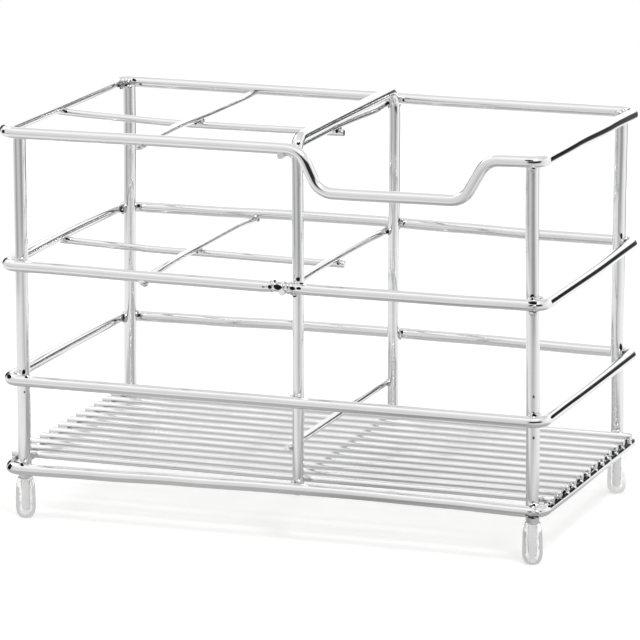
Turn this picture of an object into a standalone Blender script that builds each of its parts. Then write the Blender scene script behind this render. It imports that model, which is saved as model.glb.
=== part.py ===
"""Welded chrome wire rack for toothbrushes and toothpaste, standing on four clear caps.

Metres, +Z up. The origin is on the floor, under the middle of the rack. +X runs along the
rack to the right, and the front, with the dip, faces -Y.
"""
import math

import bpy
from mathutils import Vector

# Whole height, from the floor to the top of the divider hoop
RACK_HEIGHT = 0.1419

# Wire
POST_WIRE = 0.0046
RING_WIRE = 0.0040
THIN_WIRE = 0.0026
WELD_GAP = 0.0003

# Corner posts and divider
POST_SPACING_X = 0.185
POST_SPACING_Y = 0.098
DIVIDER_FROM_LEFT = 0.1015
HOOP_RISE = 0.0029
HOOP_BEND = 0.0050
POST_TOP_DROP = 0.0008

# Lower rings, each step from the ring below
MIDDLE_RING_STEP = 0.0313
UPPER_RING_STEP = 0.0400

# Dip in the front of the top ring
DIP_FROM_DIVIDER = 0.0030
DIP_FROM_RIGHT = 0.0146
DIP_LEFT_RUN = 0.0067
DIP_RIGHT_RUN = 0.0083
DIP_DEPTH = 0.0139
DIP_BEND = 0.0050

# Grid of thin wires in the left compartment
CROSS_FROM_LEFT = 0.0473
CROSS_STEP_RUN = 0.0110
CROSS_STEP_BEND = 0.0200
GRID_END_PAST_DIVIDER = 0.0029
WIRE_END_INSET = 0.0003

# Low wire between the hoop's legs, and the floor
LOW_WIRE_RISE = 0.0142
LOW_WIRE_PAST_LEG = 0.0015
FLOOR_WIRES = 12

# Clear caps on the posts
CAP_HEIGHT = 0.0146
CAP_FLOOR = 0.0021
CAP_BORE_GAP = 0.0003
CAP_MOUTH_WALL = 0.0004
CAP_UPPER_WALL = 0.00075
CAP_LOWER_WALL = 0.0009
CAP_SHOULDER = 0.0028
CAP_BASE_ROUND = 0.0030
CAP_FLAT_RADIUS = 0.0015
BARE_POST = 0.0023

# Roundness of the faceted solids
THICK_SIDES_RESOLUTION = 6
THIN_SIDES_RESOLUTION = 4
BEND_STEP = math.radians(15)
FEWEST_BEND_STEPS = 2
PATH_POINT_WEIGHT = 1
CAP_TURN_STEPS = 24
CAP_ARC_STEPS = 4
MERGE_DISTANCE = 0.00001

# Colours
CHROME = (0.80, 0.81, 0.83, 1.0)
CLEAR_PLASTIC = (0.86, 0.87, 0.88, 1.0)

# Places that follow from the sizes
POST_RADIUS = POST_WIRE / 2
RING_RADIUS = RING_WIRE / 2
THIN_RADIUS = THIN_WIRE / 2
RING_OFF_POST = POST_RADIUS + WELD_GAP + RING_RADIUS
HOOP_OFF_RING = RING_WIRE + WELD_GAP
THIN_OFF_POST = POST_RADIUS + WELD_GAP + THIN_RADIUS
THIN_OFF_RING = RING_RADIUS + WELD_GAP + THIN_RADIUS
THIN_OVER_THIN = THIN_WIRE + WELD_GAP

LEFT_X = -POST_SPACING_X / 2
RIGHT_X = POST_SPACING_X / 2
FRONT_Y = -POST_SPACING_Y / 2
BACK_Y = POST_SPACING_Y / 2
DIVIDER_X = LEFT_X + DIVIDER_FROM_LEFT
CROSS_X = LEFT_X + CROSS_FROM_LEFT
DIVIDER_WIRE_X = DIVIDER_X - THIN_OFF_RING

RING_LEFT = LEFT_X - RING_OFF_POST
RING_RIGHT = RIGHT_X + RING_OFF_POST
RING_FRONT = FRONT_Y - RING_OFF_POST
RING_BACK = BACK_Y + RING_OFF_POST
HOOP_FRONT = RING_FRONT + HOOP_OFF_RING
HOOP_BACK = RING_BACK - HOOP_OFF_RING
END_REACH = RING_RADIUS - WIRE_END_INSET

BASE_RING_Z = CAP_HEIGHT + BARE_POST + RING_RADIUS
MIDDLE_RING_Z = BASE_RING_Z + MIDDLE_RING_STEP
UPPER_RING_Z = MIDDLE_RING_Z + UPPER_RING_STEP
HOOP_TOP_Z = RACK_HEIGHT - RING_RADIUS
TOP_RING_Z = HOOP_TOP_Z - HOOP_RISE


def finish(name, colour, metallic, roughness):
    """A plain finish for one piece."""
    material = bpy.data.materials.new(name + "_finish")
    material.use_nodes = True
    shader = material.node_tree.nodes["Principled BSDF"]
    shader.inputs["Base Color"].default_value = colour
    shader.inputs["Metallic"].default_value = metallic
    shader.inputs["Roughness"].default_value = roughness
    return material


def arc_corner(before, corner, after, radius):
    """Points of a bend of the given radius that replaces a sharp corner."""
    back = (before - corner).normalized()
    ahead = (after - corner).normalized()
    half_angle = back.angle(ahead) / 2
    centre = corner + (back + ahead).normalized() * (radius / math.sin(half_angle))
    start = corner + back * (radius / math.tan(half_angle)) - centre
    turn = math.pi - 2 * half_angle
    steps = max(FEWEST_BEND_STEPS, math.ceil(turn / BEND_STEP))
    axis = back.cross(ahead).normalized()
    across = start.cross(axis)
    return [
        centre + start * math.cos(turn * i / steps) + across * math.sin(turn * i / steps)
        for i in range(steps + 1)
    ]


def bent_path(corners, closed):
    """Path through (point, bend radius) corners. The ends of an open path have no bend."""
    count = len(corners)
    path = []
    for i, (point, radius) in enumerate(corners):
        if radius:
            path += arc_corner(corners[i - 1][0], point, corners[(i + 1) % count][0], radius)
        else:
            path.append(point)
    return path


def wire(name, path, diameter, closed=False):
    """One piece of round wire along a path."""
    curve = bpy.data.curves.new(name, "CURVE")
    curve.dimensions = "3D"
    curve.fill_mode = "FULL"
    curve.bevel_depth = diameter / 2
    curve.bevel_resolution = THIN_SIDES_RESOLUTION if diameter == THIN_WIRE else THICK_SIDES_RESOLUTION
    curve.use_fill_caps = not closed
    if closed:
        curve.twist_mode = "Z_UP"
    spline = curve.splines.new("POLY")
    spline.points.add(len(path) - 1)
    for target, point in zip(spline.points, path):
        target.co = (*point, PATH_POINT_WEIGHT)
    spline.use_cyclic_u = closed
    spline.use_smooth = True
    curve.materials.append(finish(name, CHROME, metallic=1.0, roughness=0.12))
    piece = bpy.data.objects.new(name, curve)
    rack.objects.link(piece)
    return piece


def ring(name, height, front_dip=()):
    """Ring of wire around the posts. Its corner bends share their centres with the posts."""
    corners = [(Vector((RING_LEFT, RING_FRONT, height)), RING_OFF_POST)]
    corners += [(Vector((x, RING_FRONT, height - drop)), DIP_BEND) for x, drop in front_dip]
    corners += [
        (Vector((RING_RIGHT, RING_FRONT, height)), RING_OFF_POST),
        (Vector((RING_RIGHT, RING_BACK, height)), RING_OFF_POST),
        (Vector((RING_LEFT, RING_BACK, height)), RING_OFF_POST),
    ]
    return wire(name, bent_path(corners, closed=True), RING_WIRE, closed=True)


def top_dip():
    """Corners of the dip: down the left slope, along its flat floor and up the right slope."""
    left = DIVIDER_X + DIP_FROM_DIVIDER
    right = RIGHT_X - DIP_FROM_RIGHT
    return (
        (left, 0),
        (left + DIP_LEFT_RUN, DIP_DEPTH),
        (right - DIP_RIGHT_RUN, DIP_DEPTH),
        (right, 0),
    )


def divider_hoop():
    """One wire, as thick as the rings: front leg, top bar and back leg."""
    foot_z = BASE_RING_Z - RING_RADIUS
    corners = [
        (Vector((DIVIDER_X, HOOP_FRONT, foot_z)), 0),
        (Vector((DIVIDER_X, HOOP_FRONT, HOOP_TOP_Z)), HOOP_BEND),
        (Vector((DIVIDER_X, HOOP_BACK, HOOP_TOP_Z)), HOOP_BEND),
        (Vector((DIVIDER_X, HOOP_BACK, foot_z)), 0),
    ]
    return wire("divider_hoop", bent_path(corners, closed=False), RING_WIRE)


def corner_post(name, x, y):
    """Straight wire, the thickest, from the floor of its cap to the top ring."""
    low = Vector((x, y, CAP_FLOOR + CAP_BORE_GAP))
    high = Vector((x, y, TOP_RING_Z - POST_TOP_DROP))
    return wire(name, [low, high], POST_WIRE)


def lengthwise_wire(name, ring_z):
    """Thin wire from under the ring's left side to just past the divider."""
    height = ring_z - THIN_OFF_RING
    path = [
        Vector((RING_LEFT - END_REACH, 0, height)),
        Vector((DIVIDER_WIRE_X + GRID_END_PAST_DIVIDER, 0, height)),
    ]
    return wire(name, path, THIN_WIRE)


def stepped_wire(name, x, ring_z):
    """Thin wire under the front and back of a ring that steps up over the lengthwise wire."""
    end_z = ring_z - THIN_OFF_RING
    middle_z = end_z + THIN_OVER_THIN
    inner_front = RING_FRONT + RING_RADIUS
    inner_back = RING_BACK - RING_RADIUS
    corners = [
        (Vector((x, RING_FRONT - END_REACH, end_z)), 0),
        (Vector((x, inner_front, end_z)), CROSS_STEP_BEND),
        (Vector((x, inner_front + CROSS_STEP_RUN, middle_z)), CROSS_STEP_BEND),
        (Vector((x, inner_back - CROSS_STEP_RUN, middle_z)), CROSS_STEP_BEND),
        (Vector((x, inner_back, end_z)), CROSS_STEP_BEND),
        (Vector((x, RING_BACK + END_REACH, end_z)), 0),
    ]
    return wire(name, bent_path(corners, closed=False), THIN_WIRE)


def low_divider_wire():
    """Thin wire on the left sides of the hoop's legs, low over the floor."""
    height = BASE_RING_Z + LOW_WIRE_RISE
    path = [
        Vector((DIVIDER_WIRE_X, HOOP_FRONT - LOW_WIRE_PAST_LEG, height)),
        Vector((DIVIDER_WIRE_X, HOOP_BACK + LOW_WIRE_PAST_LEG, height)),
    ]
    return wire("divider_low_wire", path, THIN_WIRE)


def floor_wires():
    """Thin wires laid on the base ring's sides, evenly spread between the front and back posts."""
    height = BASE_RING_Z + THIN_OFF_RING
    first = FRONT_Y + THIN_OFF_POST
    pitch = (BACK_Y - THIN_OFF_POST - first) / (FLOOR_WIRES - 1)
    for i in range(FLOOR_WIRES):
        y = first + pitch * i
        path = [
            Vector((RING_LEFT - END_REACH, y, height)),
            Vector((RING_RIGHT + END_REACH, y, height)),
        ]
        wire(f"floor_wire_{i + 1:02d}", path, THIN_WIRE)


def cap_mesh():
    """Half section of a cap: floor and wall of its bore, shoulder, body and rounded base."""
    bore = POST_RADIUS + CAP_BORE_GAP
    mouth = bore + CAP_MOUTH_WALL
    upper = bore + CAP_UPPER_WALL
    lower = bore + CAP_LOWER_WALL
    section = [(0, CAP_FLOOR), (bore, CAP_FLOOR), (bore, CAP_HEIGHT)]
    for i in range(CAP_ARC_STEPS + 1):
        turn = math.pi / 2 * i / CAP_ARC_STEPS
        drop = CAP_SHOULDER * (1 - math.cos(turn))
        section.append((mouth + (upper - mouth) * math.sin(turn), CAP_HEIGHT - drop))
    for i in range(CAP_ARC_STEPS + 1):
        turn = math.pi / 2 * i / CAP_ARC_STEPS
        radius = CAP_FLAT_RADIUS + (lower - CAP_FLAT_RADIUS) * math.cos(turn)
        section.append((radius, CAP_BASE_ROUND * (1 - math.sin(turn))))
    section.append((0, 0))
    mesh = bpy.data.meshes.new("foot_cap")
    edges = [(i, i + 1) for i in range(len(section) - 1)]
    mesh.from_pydata([(radius, 0, z) for radius, z in section], edges, [])
    return mesh


def foot_cap(name, x, y, mesh):
    """Clear soft plastic cap, turned round the post's axis and standing on the floor."""
    piece = bpy.data.objects.new(name, mesh)
    piece.location = (x, y, 0)
    rack.objects.link(piece)
    turned = piece.modifiers.new("turned", "SCREW")
    turned.axis = "Z"
    turned.angle = 2 * math.pi
    turned.steps = CAP_TURN_STEPS
    turned.render_steps = CAP_TURN_STEPS
    turned.use_merge_vertices = True
    turned.merge_threshold = MERGE_DISTANCE
    turned.use_smooth_shade = True
    return piece


for old in list(bpy.data.objects):
    bpy.data.objects.remove(old)

rack = bpy.data.collections.new("bathroom_organizer")
bpy.context.scene.collection.children.link(rack)

ring("base_ring", BASE_RING_Z)
ring("middle_ring", MIDDLE_RING_Z)
ring("upper_ring", UPPER_RING_Z)
ring("top_ring", TOP_RING_Z, front_dip=top_dip())
divider_hoop()

cap_section = cap_mesh()
cap_section.materials.append(finish("foot_cap", CLEAR_PLASTIC, metallic=0.0, roughness=0.2))
corner_places = {
    "front_left": (LEFT_X, FRONT_Y),
    "front_right": (RIGHT_X, FRONT_Y),
    "back_left": (LEFT_X, BACK_Y),
    "back_right": (RIGHT_X, BACK_Y),
}
for place, (post_x, post_y) in corner_places.items():
    corner_post("corner_post_" + place, post_x, post_y)
    foot_cap("foot_cap_" + place, post_x, post_y, cap_section)

for level, ring_height in (("upper", UPPER_RING_Z), ("top", TOP_RING_Z)):
    lengthwise_wire(f"grid_{level}_lengthwise", ring_height)
    stepped_wire(f"grid_{level}_cross", CROSS_X, ring_height)
    stepped_wire(f"divider_{level}_wire", DIVIDER_WIRE_X, ring_height)

low_divider_wire()
floor_wires()
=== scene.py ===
# Chrome wire rack for toothbrushes and toothpaste: its looks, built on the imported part.
# Lengths in the settings are millimetres, and the value mm turns them to metres.
import math

import bpy
import numpy as np
from mathutils import Matrix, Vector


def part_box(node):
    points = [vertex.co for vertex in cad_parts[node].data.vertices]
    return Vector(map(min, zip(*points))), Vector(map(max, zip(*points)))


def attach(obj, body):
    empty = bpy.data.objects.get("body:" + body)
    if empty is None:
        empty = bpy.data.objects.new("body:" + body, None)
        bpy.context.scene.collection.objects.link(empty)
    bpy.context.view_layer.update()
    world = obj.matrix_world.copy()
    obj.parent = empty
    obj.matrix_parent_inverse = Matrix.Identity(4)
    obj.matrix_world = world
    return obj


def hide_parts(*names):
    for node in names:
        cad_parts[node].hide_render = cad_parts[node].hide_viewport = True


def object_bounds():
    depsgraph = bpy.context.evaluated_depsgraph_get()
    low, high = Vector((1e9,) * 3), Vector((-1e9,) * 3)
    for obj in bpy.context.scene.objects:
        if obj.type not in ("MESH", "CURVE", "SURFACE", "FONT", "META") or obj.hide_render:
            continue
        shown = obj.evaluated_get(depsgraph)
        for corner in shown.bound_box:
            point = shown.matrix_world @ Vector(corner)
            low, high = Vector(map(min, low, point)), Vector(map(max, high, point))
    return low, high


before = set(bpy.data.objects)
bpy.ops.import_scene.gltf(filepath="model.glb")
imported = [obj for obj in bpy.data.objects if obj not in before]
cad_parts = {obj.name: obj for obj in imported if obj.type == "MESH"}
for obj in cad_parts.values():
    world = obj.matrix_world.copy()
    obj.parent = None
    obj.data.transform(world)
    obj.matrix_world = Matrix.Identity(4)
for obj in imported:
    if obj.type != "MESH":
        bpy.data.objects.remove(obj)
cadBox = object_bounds()
scene = bpy.context.scene
print("frame loaded,", len(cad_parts), "nodes")

mm = 0.001
across = np.array((1.0, 0.0, 0.0))
away = np.array((0.0, 1.0, 0.0))
upward = np.array((0.0, 0.0, 1.0))


# Where the part has its wires

def corners(node):
    # lowest and highest corner of the node's box
    low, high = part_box(node)
    return np.array(low), np.array(high)


def middle(node):
    # half way between the two corners of the node's box
    low, high = corners(node)
    return (low + high) / 2


ringLow, ringHigh = corners("base_ring")
ringRadius = (ringHigh[2] - ringLow[2]) / 2
ringLow, ringHigh = ringLow + ringRadius, ringHigh - ringRadius
floorLow, floorHigh = corners("floor_wire_01")
thinRadius = (floorHigh[2] - floorLow[2]) / 2
postPlace = np.abs(middle("corner_post_front_right"))
postLow, postHigh = corners("corner_post_front_right")
postRadius = (postHigh[0] - postLow[0]) / 2
hoopLow, hoopHigh = corners("divider_hoop")
dividerX = middle("divider_hoop")[0]
dividerWireX = middle("divider_top_wire")[0]
crossX = middle("grid_top_cross")[0]
level = {name: middle(name + "_ring")[2] for name in ("base", "middle", "upper")}
level["top"] = corners("top_ring")[1][2] - ringRadius
dipZ = corners("top_ring")[0][2] + ringRadius


# Shapes, as whole arrays

meshSet = {
    "arcPoints": 24,  # along each bend, before the line is read again at even steps
    "rimPoints": 5,  # round the rim of each cut end
    "faceRings": (0.4, 0.8),  # rows on a cut end's flat face, as shares of its radius
    "beadRows": 9,
    "beadSides": 18,
    "beadSines": 4,  # sines that make one bead's lumps
    "beadPull": 2.2,  # how fast they change with direction
}


def unit(vectors):
    # each vector over its own length
    return vectors / np.linalg.norm(vectors, axis=-1, keepdims=True)


def lengths(line):
    # distance from the line's start to each of its points
    return np.concatenate(((0.0,), np.cumsum(np.linalg.norm(np.diff(line, axis=0), axis=1))))


def evenSteps(length, step):
    # distances from 0 to the length, in equal steps near the given one
    return np.linspace(0, length, max(2, round(length / step)) + 1)


def bentLine(places, bends, closed, step):
    # each place with a bend gives way to an arc of that radius, centre + cos(turn) * first +
    # sin(turn) * second, and the whole line is then read again at even steps
    places = np.array(places, float)
    parts = []
    for i, bend in enumerate(bends):
        if not bend:
            parts.append(places[i : i + 1])
            continue
        back = unit(places[i - 1] - places[i])
        ahead = unit(places[(i + 1) % len(places)] - places[i])
        half = math.acos(back @ ahead) / 2
        centre = places[i] + unit(back + ahead) * bend / math.sin(half)
        first = places[i] + back * bend / math.tan(half) - centre
        second = unit(np.cross(first, np.cross(back, ahead))) * bend
        turn = np.linspace(0, math.pi - 2 * half, meshSet["arcPoints"])[:, None]
        parts.append(centre + first * np.cos(turn) + second * np.sin(turn))
    line = np.concatenate(parts)
    if closed:
        line = np.concatenate((line, line[:1]))
    along = lengths(line)
    reads = evenSteps(along[-1], step)
    line = np.stack([np.interp(reads, along, line[:, axis]) for axis in range(3)], axis=1)
    return line[:-1] if closed else line


def straightLine(start, end, step):
    # from start to end at even steps
    return bentLine((start, end), (0, 0), False, step)


def smoothLine(places, step):
    # a cubic through every place, with each slope the mean of the two neighbouring ones
    places = np.array(places, float)
    along = lengths(places)
    slope = np.gradient(places, along, axis=0)
    reads = evenSteps(along[-1], step)
    left = np.clip(np.searchsorted(along, reads, side="right") - 1, 0, len(along) - 2)
    span = (along[left + 1] - along[left])[:, None]
    share = (reads[:, None] - along[left][:, None]) / span
    start = places[left] * (2 * share**3 - 3 * share**2 + 1)
    end = places[left + 1] * (3 * share**2 - 2 * share**3)
    leave = slope[left] * span * (share**3 - 2 * share**2 + share)
    arrive = slope[left + 1] * span * (share**3 - share**2)
    return start + end + leave + arrive


def waver(line, values, kind, number, axes):
    # three slow sines of the share of the way along are added in each of the given axes
    draw = np.random.default_rng(values[kind + "Seed"] + number)
    size, waves = values["waver"] * mm, values[kind + "Waves"]
    share = lengths(line) / lengths(np.concatenate((line, line[:1])))[-1]
    moved = line.copy()
    for axis in axes:
        for count in waves:
            turn = 2 * math.pi * (count * share + draw.uniform())
            moved[:, axis] += size * waves[0] / count * np.sin(turn)
    return moved


def eased(reads, places, values):
    # from each place's value to the next one's as 3 s² - 2 s³ of the share of the way
    places, values = np.array(places, float), np.array(values, float)
    left = np.clip(np.searchsorted(places, reads, side="right") - 1, 0, len(places) - 2)
    share = np.clip((reads - places[left]) / (places[left + 1] - places[left]), 0, 1)
    share = share * share * (3 - 2 * share)
    return values[left] * (1 - share) + values[left + 1] * share


def bowed(line, bows):
    # each place on the closed line is moved up and across by its own amounts, eased between them
    bows = np.array([(*bow, 0)[:4] for bow in bows]) * mm
    nearest = np.linalg.norm(line[:, None, :2] - bows[None, :, :2], axis=-1).argmin(axis=0)
    order = np.argsort(nearest)
    nearest, up, over = nearest[order], *bows[order, 2:].T
    places = np.concatenate((nearest[-1:] - len(line), nearest, nearest[:1] + len(line)))
    moved = line.copy()
    for axis, moves in ((2, up), (0, over)):
        moves = np.concatenate((moves[-1:], moves, moves[:1]))
        moved[:, axis] += eased(np.arange(len(line)), places, moves)
    return moved


def faceArrays(rows, sides, closedRows, girth, along):
    # quads of a grid that closes round each row, and each quad's corners in the unrolled surface
    row = np.arange(rows if closedRows else rows - 1)[:, None]
    side = np.arange(sides)[None, :]
    here, there, after = row * sides, (row + 1) % rows * sides, (side + 1) % sides
    quad = np.stack((here + side, here + after, there + after, there + side), axis=-1)
    turn = girth * np.arange(sides + 1) / sides
    u = np.stack(np.broadcast_arrays(turn[side], turn[side + 1], turn[side + 1], turn[side]), -1)
    v = np.stack(np.broadcast_arrays(along[row], along[row], along[row + 1], along[row + 1]), -1)
    u, v = np.broadcast_arrays(u, v)
    return quad.reshape(-1, 4), np.stack((u, v), axis=-1).reshape(-1, 4, 2)


def endFans(rows, sides):
    # triangles from a grid's first and last row to the two poles that follow its points
    side = np.arange(sides)
    after = (side + 1) % sides
    pole = rows * sides + np.zeros(sides, int)
    last = (rows - 1) * sides
    return np.concatenate(
        (np.stack((pole, after, side), -1), np.stack((pole + 1, last + side, last + after), -1))
    )


def sweptWire(line, radius, sides, aside, closed, rim=0.0):
    # a circle carried along the line: line + radius * (cos(angle) * first + sin(angle) * second).
    # A cut end is a flat face and a quarter round of the rim's size, on rows of their own
    if closed:
        tangent = unit(np.roll(line, -1, axis=0) - np.roll(line, 1, axis=0))
        widths = np.broadcast_to(radius, len(line))
        along = lengths(np.concatenate((line, line[:1])))
    else:
        tangent = unit(np.gradient(line, axis=0))
        turn = np.linspace(0, math.pi / 2, meshSet["rimPoints"])
        faceWidth = np.array(meshSet["faceRings"]) * (radius - rim)
        endWidth = np.concatenate((faceWidth, radius - rim + rim * np.sin(turn)))
        inset = np.concatenate((0 * faceWidth, rim * (1 - np.cos(turn))))[:, None]
        ends, keep = len(inset), slice(1, -1)
        first = line[0] + tangent[0] * inset
        last = (line[-1] - tangent[-1] * inset)[::-1]
        widths = np.concatenate((endWidth, np.full(len(line) - 2, radius), endWidth[::-1]))
        line = np.concatenate((first, line[keep], last))
        tangent = np.concatenate(
            (np.repeat(tangent[:1], ends, 0), tangent[keep], np.repeat(tangent[-1:], ends, 0))
        )
        along = lengths(line)
    firstSide = unit(np.cross(tangent, aside))
    secondSide = np.cross(tangent, firstSide)
    angle = np.linspace(0, 2 * math.pi, sides, endpoint=False)[None, :, None]
    outward = firstSide[:, None] * np.cos(angle) + secondSide[:, None] * np.sin(angle)
    points = (line[:, None] + outward * widths[:, None, None]).reshape(-1, 3)
    quads, quadMap = faceArrays(len(line), sides, closed, 2 * math.pi * widths.max(), along)
    if closed:
        return points, quads, quadMap, np.zeros((0, 3), int), np.zeros((0, 3, 2))
    fans = endFans(len(line), sides)
    points = np.concatenate((points, line[:1], line[-1:]))
    fanMap = np.stack((points[fans] @ across, points[fans] @ away + points[fans] @ upward), -1)
    return points, quads, quadMap, fans, fanMap


def turnedForm(radii, heights, place, sides):
    # a profile turned about an upright axis: place + (radius * cos, radius * sin, height),
    # with a pole where it starts and one where it ends
    angle = np.linspace(0, 2 * math.pi, sides, endpoint=False)
    rows = len(radii) - 2
    inner = slice(1, -1)
    x = place[0] + radii[inner, None] * np.cos(angle)
    y = place[1] + radii[inner, None] * np.sin(angle)
    z = place[2] + np.broadcast_to(heights[inner, None], x.shape)
    points = np.stack((x, y, z), -1).reshape(-1, 3)
    along = lengths(np.stack((radii, heights), -1))[1:]
    quads, quadMap = faceArrays(rows, sides, False, 2 * math.pi * radii.max(), along)
    fans = endFans(rows, sides)
    poles = np.array(place) + np.array(((0, 0, heights[0]), (0, 0, heights[-1])))
    points = np.concatenate((points, poles))
    return points, quads, quadMap, fans, points[fans][..., :2]


def beadField(centres, sizes, turns, seed, lump):
    # squashed balls: centre + turned(size * direction * (1 + lump * ripple)), where the ripple is
    # a sum of sines of the direction, different for each ball
    draw = np.random.default_rng(seed)
    rows, sides, sines = (meshSet[key] for key in ("beadRows", "beadSides", "beadSines"))
    tilt = np.linspace(0, math.pi, rows + 2)[1:-1, None]
    angle = np.linspace(0, 2 * math.pi, sides, endpoint=False)[None, :]
    ball = (np.sin(tilt) * np.cos(angle), np.sin(tilt) * np.sin(angle), np.cos(tilt))
    grid = np.stack(np.broadcast_arrays(*ball), -1)
    way = np.concatenate((grid.reshape(-1, 3), ((0, 0, 1), (0, 0, -1))))
    count = len(centres)
    pull = draw.normal(size=(count, sines, 3)) * meshSet["beadPull"]
    phase = draw.uniform(0, 2 * math.pi, (count, 1, sines))
    ripple = np.sin(np.einsum("vk,nwk->nvw", way, pull) + phase).sum(-1, keepdims=True) / sines
    form = way[None] * np.array(sizes)[:, None] * (1 + lump * ripple)
    cos, sin = np.cos(turns)[:, None], np.sin(turns)[:, None]
    x = form[..., 0] * cos - form[..., 1] * sin
    y = form[..., 0] * sin + form[..., 1] * cos
    points = (np.stack((x, y, form[..., 2]), -1) + np.array(centres)[:, None]).reshape(-1, 3)
    quads, quadMap = faceArrays(rows, sides, False, ringRadius, np.linspace(0, 1, rows) * ringRadius)
    shift = (np.arange(count) * len(way))[:, None, None]
    allQuads = (quads[None, :, ::-1] + shift).reshape(-1, 4)
    allFans = (endFans(rows, sides)[None, :, (0, 2, 1)] + shift).reshape(-1, 3)
    return points, allQuads, np.tile(quadMap, (count, 1, 1)), allFans, points[allFans][..., :2]


def addObject(name, data):
    # a new object in the scene
    made = bpy.data.objects.new(name, data)
    scene.collection.objects.link(made)
    return made


def putPiece(name, arrays, material, slot, *replaced):
    # the arrays go into a mesh as they are, and the piece rides on the rack
    points, quads, quadMap, fans, fanMap = arrays
    mesh = bpy.data.meshes.new(name)
    cornersOfFaces = np.concatenate((quads.ravel(), fans.ravel())).astype(np.int32)
    starts = np.concatenate((np.arange(len(quads)) * 4, len(quads) * 4 + np.arange(len(fans)) * 3))
    mesh.vertices.add(len(points))
    mesh.vertices.foreach_set("co", points.astype(np.float32).ravel())
    mesh.loops.add(len(cornersOfFaces))
    mesh.loops.foreach_set("vertex_index", cornersOfFaces)
    mesh.polygons.add(len(starts))
    mesh.polygons.foreach_set("loop_start", starts.astype(np.int32))
    mesh.polygons.foreach_set("use_smooth", np.ones(len(starts), bool))
    unrolled = mesh.uv_layers.new(name="UVMap")
    flat = np.concatenate((quadMap.reshape(-1, 2), fanMap.reshape(-1, 2)))
    unrolled.data.foreach_set("uv", flat.astype(np.float32).ravel())
    mesh.update(calc_edges=True)
    mesh.materials.append(material)
    piece = addObject(name, mesh)
    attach(piece, "root")
    if replaced:
        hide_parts(*replaced)
    return piece


# Materials

def linear(code):
    # sRGB hex to linear: ((c + 0.055) / 1.055) to the power 2.4, or c / 12.92 where it is dark
    parts = np.array([int(code[i : i + 2], 16) for i in (1, 3, 5)]) / 255
    parts = np.where(parts > 0.04045, ((parts + 0.055) / 1.055) ** 2.4, parts / 12.92)
    return (*parts.tolist(), 1.0)


def feed(tree, node, **links):
    # each named or numbered input takes the given output, or the given node's first one
    for key, source in links.items():
        place = int(key[1:]) if key[0] == "i" and key[1:].isdigit() else key.replace("_", " ")
        tree.links.new(getattr(source, "outputs", (source,))[0], node.inputs[place])


def addNode(tree, kind, settings={}, **links):
    # settings whose name is a socket's set that socket, and the rest set the node itself
    node = tree.nodes.new("ShaderNode" + kind)
    for key, value in settings.items():
        if isinstance(key, int) or key in node.inputs:
            node.inputs[key].default_value = value
        else:
            setattr(node, key, value)
    feed(tree, node, **links)
    return node


def newMaterial(name):
    # the material, its nodes and its main shader
    material = bpy.data.materials.new(name)
    material.use_nodes = True
    return material, material.node_tree, material.node_tree.nodes["Principled BSDF"]


chromeSet = {
    "bright": "#E5E5E5",
    "dull": "#DBDBDC",
    "cloudSize": 14,  # patches of thicker and thinner plating
    "speckSize": 2.4,  # patches of different roughness
    "speckDetail": 4.0,
    "speckRange": (0.35, 0.75),  # of their noise, from the smoothest to the roughest
    "roughLow": 0.045,
    "roughHigh": 0.13,
    "rippleSize": 7,  # slow ripple left by the bending and polishing
    "rippleDepth": 0.02,
    "drawnPitch": 0.8,  # die marks along the wire, drawn coarser than the real 0.1 to show
    "drawnLength": 26,
    "drawnDepth": 0.008,
}


def readFrom(ends):
    # settings of a map range that reads from the first end to the second
    return {"From Min": ends[0], "From Max": ends[1]}


def edgeShare(tree, values):
    # 0 where the surface faces the eye, and up to 1 where it is seen along itself
    rim = addNode(tree, "LayerWeight", {"Blend": 0.5})
    return addNode(tree, "MapRange", readFrom(values["edgeRange"]), Value=rim.outputs["Facing"])


def skin(tree, spot, values):
    # patches of different roughness, and slow ripples that bend the reflections
    grain = {"Scale": 1 / (values["speckSize"] * mm), "Detail": values["speckDetail"]}
    speck = addNode(tree, "TexNoise", grain, Vector=spot)
    ends = {"To Min": values["roughLow"], "To Max": values["roughHigh"], **readFrom(values["speckRange"])}
    rough = addNode(tree, "MapRange", ends, Value=speck)
    grain = {"Scale": 1 / (values["rippleSize"] * mm), "Detail": 1.0}
    ripple = addNode(tree, "TexNoise", grain, Vector=spot)
    slow = addNode(tree, "Bump", {"Strength": 1.0, "Distance": values["rippleDepth"] * mm}, Height=ripple)
    return rough, slow


def platedSteel(name, changes={}):
    # Nickel and chromium plating on drawn steel wire: a neutral mirror, with slow ripples and
    # faint marks along the wire that make the reflections waver
    values = {**chromeSet, **changes}
    material, tree, shader = newMaterial(name)
    place = addNode(tree, "TexCoord")
    spot = place.outputs["Object"]
    cloud = addNode(tree, "TexNoise", {"Scale": 1 / (values["cloudSize"] * mm), "Detail": 3.0}, Vector=spot)
    tints = {"data_type": "RGBA", 6: linear(values["bright"]), 7: linear(values["dull"])}
    colour = addNode(tree, "Mix", tints, i0=cloud).outputs[2]
    rough, slow = skin(tree, spot, values)
    pitch, length = values["drawnPitch"] * mm, values["drawnLength"] * mm
    stretch = addNode(tree, "Mapping", {"Scale": (1 / pitch, 1 / length, 1.0)}, Vector=place.outputs["UV"])
    drawn = addNode(tree, "TexNoise", {"Scale": 1.0, "Detail": 2.0}, Vector=stretch)
    fine = addNode(
        tree, "Bump", {"Strength": 1.0, "Distance": values["drawnDepth"] * mm}, Height=drawn, Normal=slow
    )
    # a darker colour towards the edges seen along the surface: painted shade, used by the thin wire
    if "edge" in values:
        tints = {"data_type": "RGBA", 7: linear(values["edge"])}
        colour = addNode(tree, "Mix", tints, i0=edgeShare(tree, values), i6=colour).outputs[2]
    feed(tree, shader, Base_Color=colour, Roughness=rough, Normal=fine)
    shader.inputs["Metallic"].default_value = 1.0
    return material


chrome = platedSteel("chromePlatedDrawnSteelWire")
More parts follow.
